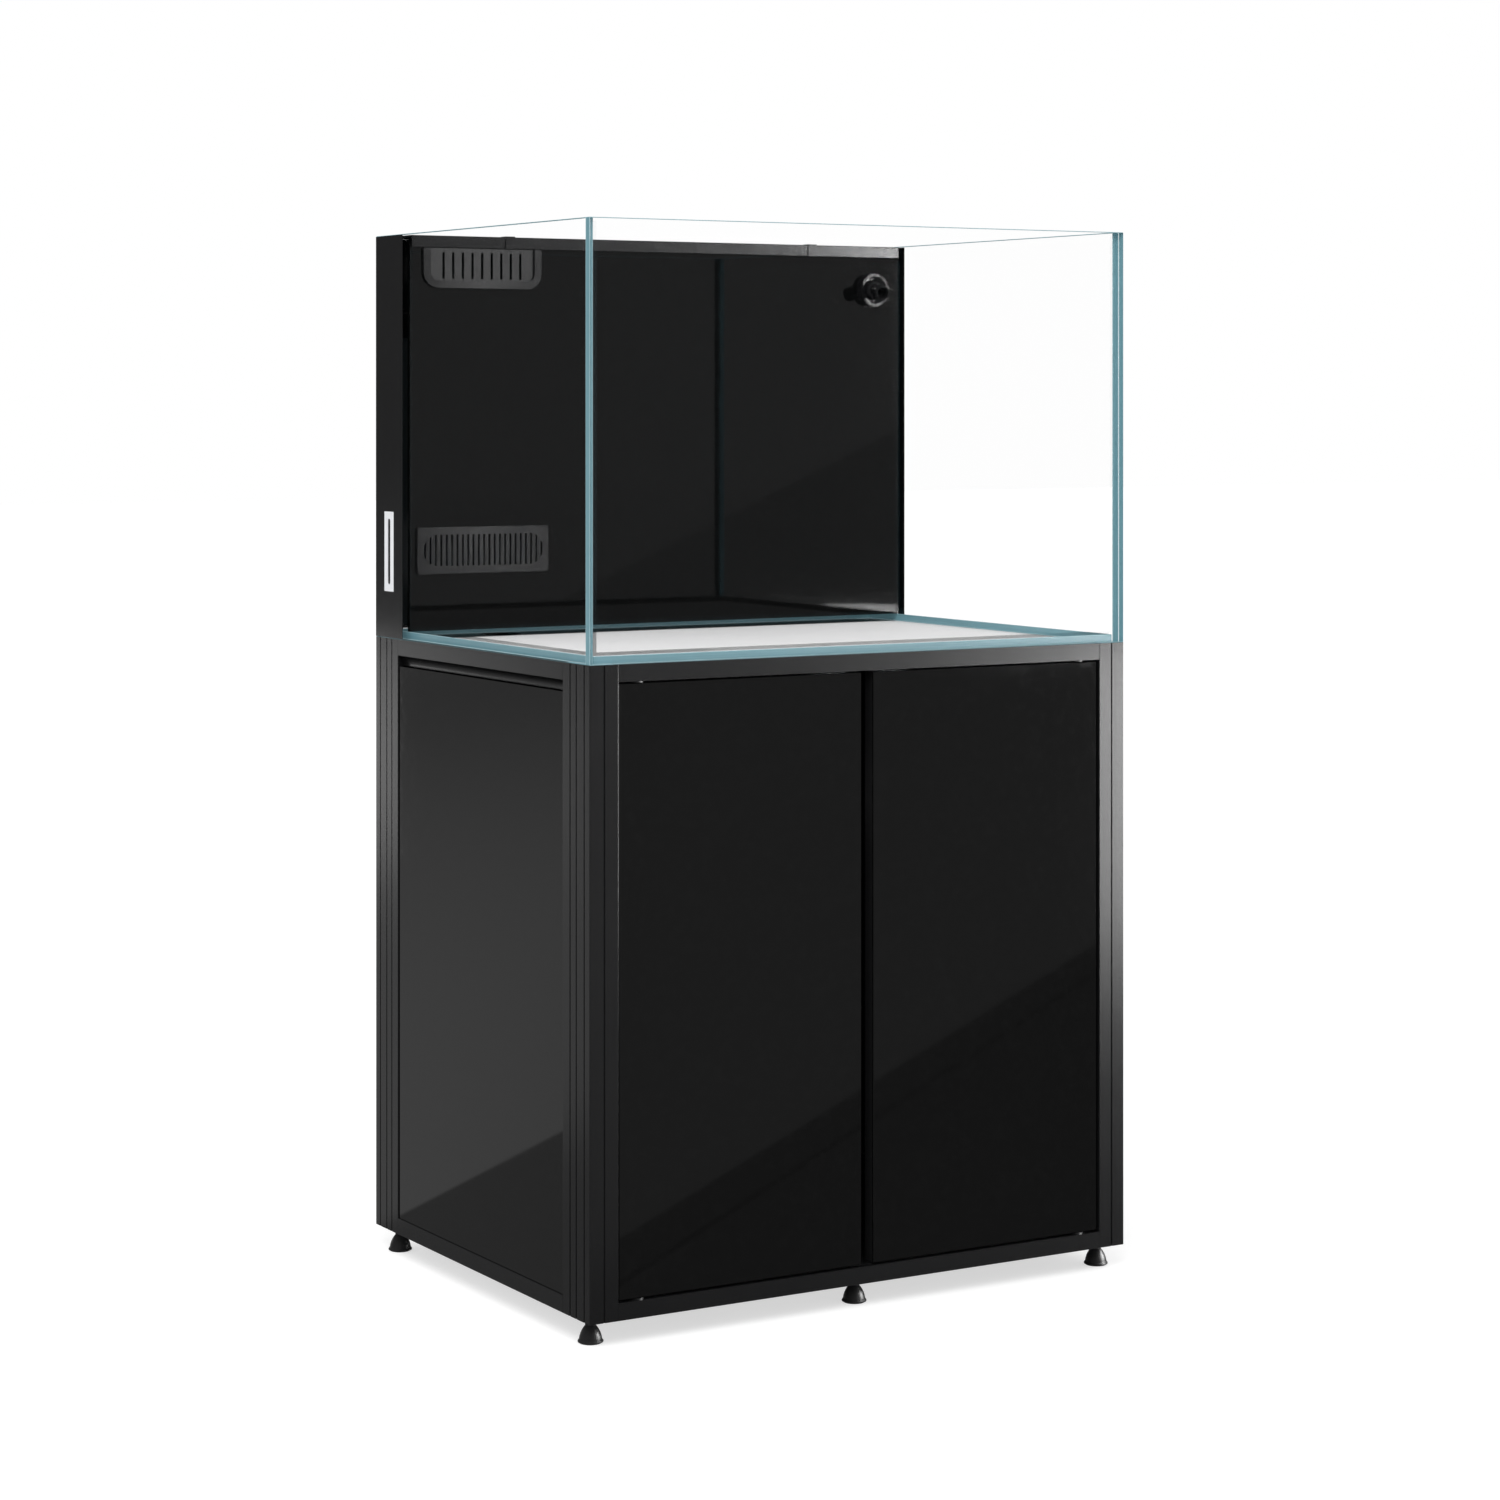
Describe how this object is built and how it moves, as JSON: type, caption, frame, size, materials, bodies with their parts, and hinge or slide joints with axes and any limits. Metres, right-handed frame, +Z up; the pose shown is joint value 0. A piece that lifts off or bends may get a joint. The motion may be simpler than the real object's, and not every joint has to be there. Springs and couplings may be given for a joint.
{
  "type": "reef aquarium",
  "caption": "Rimless glass reef aquarium with a black rear filter chamber, standing on an aluminium-framed two-door cabinet with levelling feet.",
  "frame": {"origin": "on the floor, under the middle of the footprint", "axes": "+Z up; the doors and the clear front pane face -Y; +X to the right as seen from the front, so the overflow comb is at -X and the return outlet at +X"},
  "size_m": [0.751, 0.574, 1.283],
  "materials": {
    "clear_glass": "polished, clear, teal at the edges",
    "silicone": "clear silicone bead",
    "black_sheet": "mirror-like gloss black",
    "black_film": "gloss black film",
    "white_bezel": "satin",
    "grey_lid": "satin",
    "black_plastic": "satin moulded",
    "hose": "satin",
    "foam": "open-cell foam",
    "frame_metal": "black anodised, satin",
    "white_board": "satin foam board",
    "grey_plate": "satin",
    "board": "black laminate",
    "gloss_panel": "high gloss",
    "grommet": "matte",
    "steel": "satin",
    "foot": "satin"
  },
  "bodies": {
    "aquarium": {"front_pane": "clear_glass", "rear_pane": "clear_glass", "left_pane": "clear_glass", "right_pane": "clear_glass", "bottom_pane": "clear_glass", "silicone_seams": "silicone", "partition": "black_sheet", "chamber_baffles": "black_sheet", "chamber_film": "black_film", "sight_window": "white_bezel", "return_bulkhead": "black_plastic", "return_nut": "black_plastic", "return_elbow": "black_plastic", "return_pump": "black_plastic", "media_basket": "black_plastic", "return_hose": "hose", "filter_sponge": "foam", "post_front_left": "frame_metal", "post_front_right": "frame_metal", "post_rear_left": "frame_metal", "post_rear_right": "frame_metal", "front_top_rail": "frame_metal", "rear_top_rail": "frame_metal", "left_top_rail": "frame_metal", "right_top_rail": "frame_metal", "front_bottom_rail": "frame_metal", "rear_bottom_rail": "frame_metal", "left_bottom_rail": "frame_metal", "right_bottom_rail": "frame_metal", "cross_beams": "frame_metal", "top_board": "white_board", "rear_plate": "grey_plate", "base_board": "board", "back_panel": "board", "left_side_panel": "gloss_panel", "right_side_panel": "gloss_panel", "cable_grommets": "grommet", "door_magnets": "steel", "corner_brackets": "steel", "hinge_bushes": "black_plastic", "foot_inserts": "steel"},
    "left_door": {"left_door_core": "board", "left_door_face": "gloss_panel", "left_door_fittings": "steel"},
    "right_door": {"right_door_core": "board", "right_door_face": "gloss_panel", "right_door_fittings": "steel"},
    "lid": {"chamber_lid": "grey_lid", "lid_grips": "grey_lid"},
    "comb": {"overflow_comb": "black_plastic"},
    "grille": {"intake_grille": "black_plastic"},
    "outlet_ball": {"outlet_ball": "black_plastic"},
    "outlet_spout": {"outlet_spout": "black_plastic"},
    "foot_front_left_body": {"foot_front_left": "foot"},
    "foot_front_middle_body": {"foot_front_middle": "foot"},
    "foot_front_right_body": {"foot_front_right": "foot"},
    "foot_rear_left_body": {"foot_rear_left": "foot"},
    "foot_rear_middle_body": {"foot_rear_middle": "foot"},
    "foot_rear_right_body": {"foot_rear_right": "foot"}
  },
  "joints": [
    {"name": "left_door_hinge", "type": "hinge", "parent": "aquarium", "child": "left_door", "pos_m": [-0.3095, -0.2745, 0.402], "axis": [0, 0, 1], "range_deg": [-110, 0]},
    {"name": "right_door_hinge", "type": "hinge", "parent": "aquarium", "child": "right_door", "pos_m": [0.3095, -0.2745, 0.402], "axis": [0, 0, 1], "range_deg": [0, 110]},
    {"name": "lid_lift", "type": "slide", "parent": "aquarium", "child": "lid", "axis": [0, 0, 1], "range_m": [0, 0.08]},
    {"name": "comb_pull", "type": "slide", "parent": "aquarium", "child": "comb", "axis": [0, -1, 0], "range_m": [0, 0.04]},
    {"name": "grille_pull", "type": "slide", "parent": "aquarium", "child": "grille", "axis": [0, -1, 0], "range_m": [0, 0.04]},
    {"name": "outlet_pan", "type": "hinge", "parent": "aquarium", "child": "outlet_ball", "pos_m": [0.3204, 0.2015, 1.2232], "axis": [0, 0, 1], "range_deg": [-12, 37]},
    {"name": "outlet_tilt", "type": "hinge", "parent": "outlet_ball", "child": "outlet_spout", "pos_m": [0.31866, 0.19369, 1.2232], "axis": [0.9759, -0.2181, 0], "range_deg": [-29, 11]},
    {"name": "foot_front_left_turn", "type": "hinge", "parent": "aquarium", "child": "foot_front_left_body", "pos_m": [-0.35635, -0.2542, 0], "axis": [0, 0, 1], "continuous": true},
    {"name": "foot_front_middle_turn", "type": "hinge", "parent": "aquarium", "child": "foot_front_middle_body", "pos_m": [0, -0.2542, 0], "axis": [0, 0, 1], "continuous": true},
    {"name": "foot_front_right_turn", "type": "hinge", "parent": "aquarium", "child": "foot_front_right_body", "pos_m": [0.35635, -0.2542, 0], "axis": [0, 0, 1], "continuous": true},
    {"name": "foot_rear_left_turn", "type": "hinge", "parent": "aquarium", "child": "foot_rear_left_body", "pos_m": [-0.35635, 0.2542, 0], "axis": [0, 0, 1], "continuous": true},
    {"name": "foot_rear_middle_turn", "type": "hinge", "parent": "aquarium", "child": "foot_rear_middle_body", "pos_m": [0, 0.2542, 0], "axis": [0, 0, 1], "continuous": true},
    {"name": "foot_rear_right_turn", "type": "hinge", "parent": "aquarium", "child": "foot_rear_right_body", "pos_m": [0.35635, 0.2542, 0], "axis": [0, 0, 1], "continuous": true}
  ]
}
